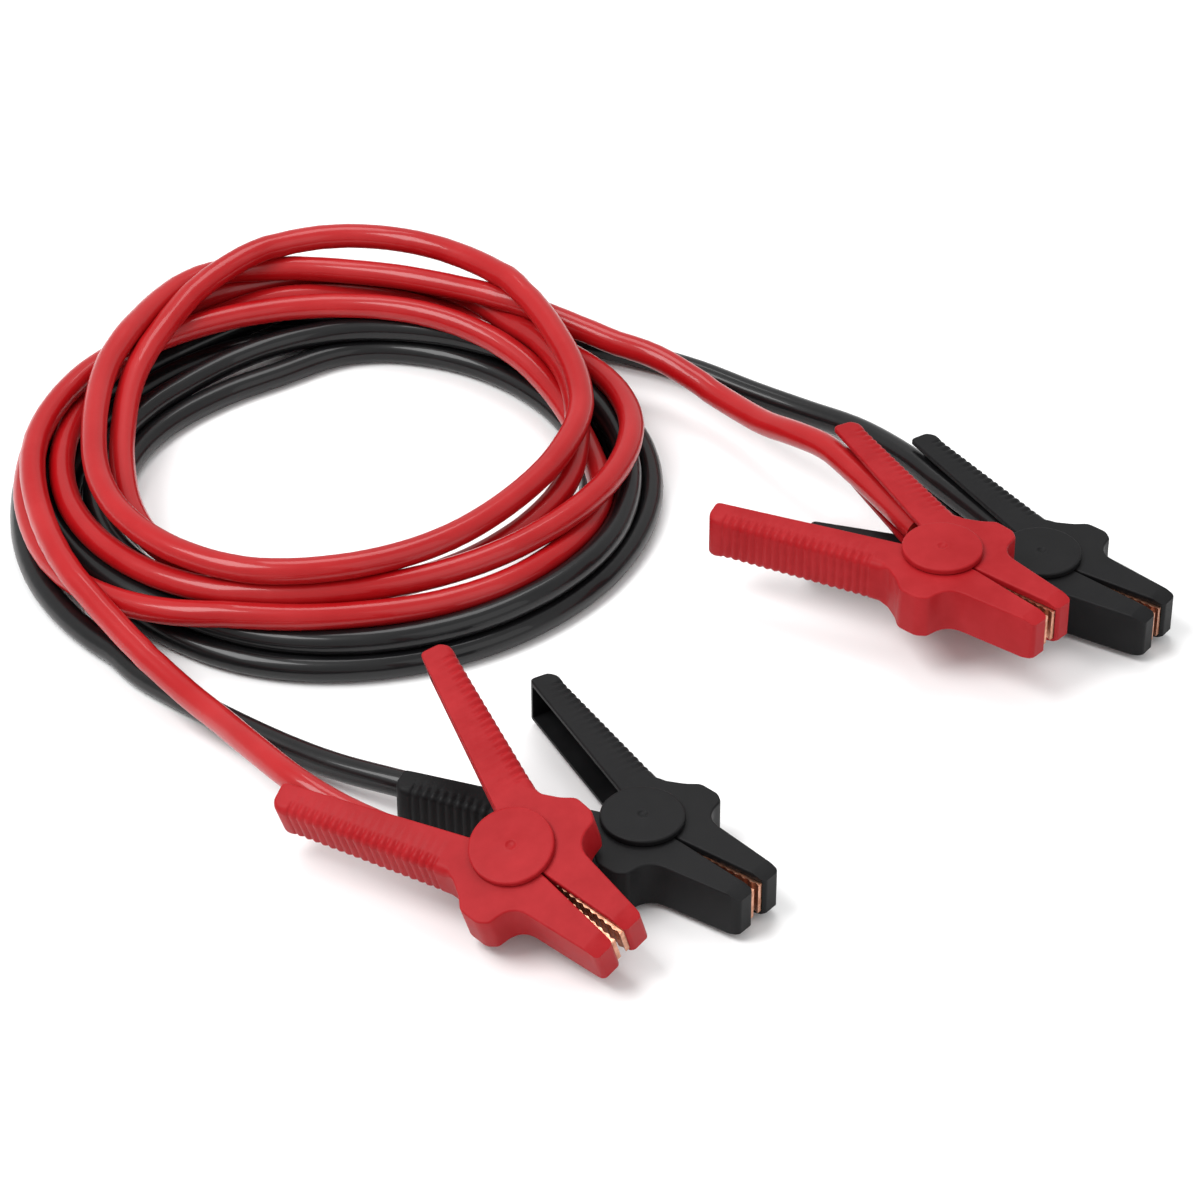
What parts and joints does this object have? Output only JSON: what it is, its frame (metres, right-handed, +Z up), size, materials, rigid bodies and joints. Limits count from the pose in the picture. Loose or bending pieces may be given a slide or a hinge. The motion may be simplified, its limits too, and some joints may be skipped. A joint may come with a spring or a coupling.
{
  "type": "car jumper cable",
  "caption": "Pair of jumper leads, a red and a black insulated cable coiled together, each with sprung insulated battery clamps with toothed copper jaws",
  "frame": {"origin": "middle of the flat underside of the front black clamp's lower cap, on the floor", "axes": "+Z up, square to the floor; +X to the right and +Y away from the viewer as the leads lie in the picture"},
  "size_m": [0.5301, 0.5026, 0.0699],
  "materials": {
    "red_plastic": "satin moulded",
    "black_plastic": "satin moulded",
    "red_cable": "soft gloss",
    "black_cable": "soft gloss",
    "copper": "bright copper",
    "spring_steel": "bright drawn wire"
  },
  "bodies": {
    "root": {"front_black_fixed_lever": "black_plastic", "front_black_lower_cap": "black_plastic", "front_black_upper_cap": "black_plastic", "front_black_spring": "spring_steel", "front_black_fixed_jaw_plate": "copper", "front_black_conductor": "copper", "front_red_fixed_lever": "red_plastic", "front_red_lower_cap": "red_plastic", "front_red_upper_cap": "red_plastic", "front_red_spring": "spring_steel", "front_red_fixed_jaw_plate": "copper", "front_red_conductor": "copper", "rear_black_fixed_lever": "black_plastic", "rear_black_lower_cap": "black_plastic", "rear_black_upper_cap": "black_plastic", "rear_black_spring": "spring_steel", "rear_black_fixed_jaw_plate": "copper", "rear_black_conductor": "copper", "rear_red_fixed_lever": "red_plastic", "rear_red_lower_cap": "red_plastic", "rear_red_upper_cap": "red_plastic", "rear_red_spring": "spring_steel", "rear_red_fixed_jaw_plate": "copper", "rear_red_conductor": "copper", "black_coil": "black_cable", "black_front_lead": "black_cable", "black_rear_lead": "black_cable", "red_coil": "red_cable", "red_front_lead": "red_cable", "red_rear_lead": "red_cable"},
    "front_black_jaw": {"front_black_moving_lever": "black_plastic", "front_black_spring_leg": "spring_steel", "front_black_moving_jaw_plate": "copper"},
    "front_red_jaw": {"front_red_moving_lever": "red_plastic", "front_red_spring_leg": "spring_steel", "front_red_moving_jaw_plate": "copper"},
    "rear_black_jaw": {"rear_black_moving_lever": "black_plastic", "rear_black_spring_leg": "spring_steel", "rear_black_moving_jaw_plate": "copper"},
    "rear_red_jaw": {"rear_red_moving_lever": "red_plastic", "rear_red_spring_leg": "spring_steel", "rear_red_moving_jaw_plate": "copper"}
  },
  "joints": [
    {"name": "front_black_hinge", "type": "hinge", "parent": "root", "child": "front_black_jaw", "pos_m": [0, 0, 0], "axis": [0, 0, 1], "range_deg": [0, 36], "stiffness_Nm_per_rad": 1.2, "springref_deg": -28.65},
    {"name": "front_red_hinge", "type": "hinge", "parent": "root", "child": "front_red_jaw", "pos_m": [-0.0495, -0.0271, 0.0167], "axis": [-0.1719, -0.345, 0.9227], "range_deg": [0, 36], "stiffness_Nm_per_rad": 1.2, "springref_deg": -28.65},
    {"name": "rear_black_hinge", "type": "hinge", "parent": "root", "child": "rear_black_jaw", "pos_m": [0.1812, 0.183, 0], "axis": [0, 0, -1], "range_deg": [0, 36], "stiffness_Nm_per_rad": 1.2, "springref_deg": -28.65},
    {"name": "rear_red_hinge", "type": "hinge", "parent": "root", "child": "rear_red_jaw", "pos_m": [0.1338, 0.157, 0.022], "axis": [0, 0, -1], "range_deg": [0, 36], "stiffness_Nm_per_rad": 1.2, "springref_deg": -28.65}
  ]
}
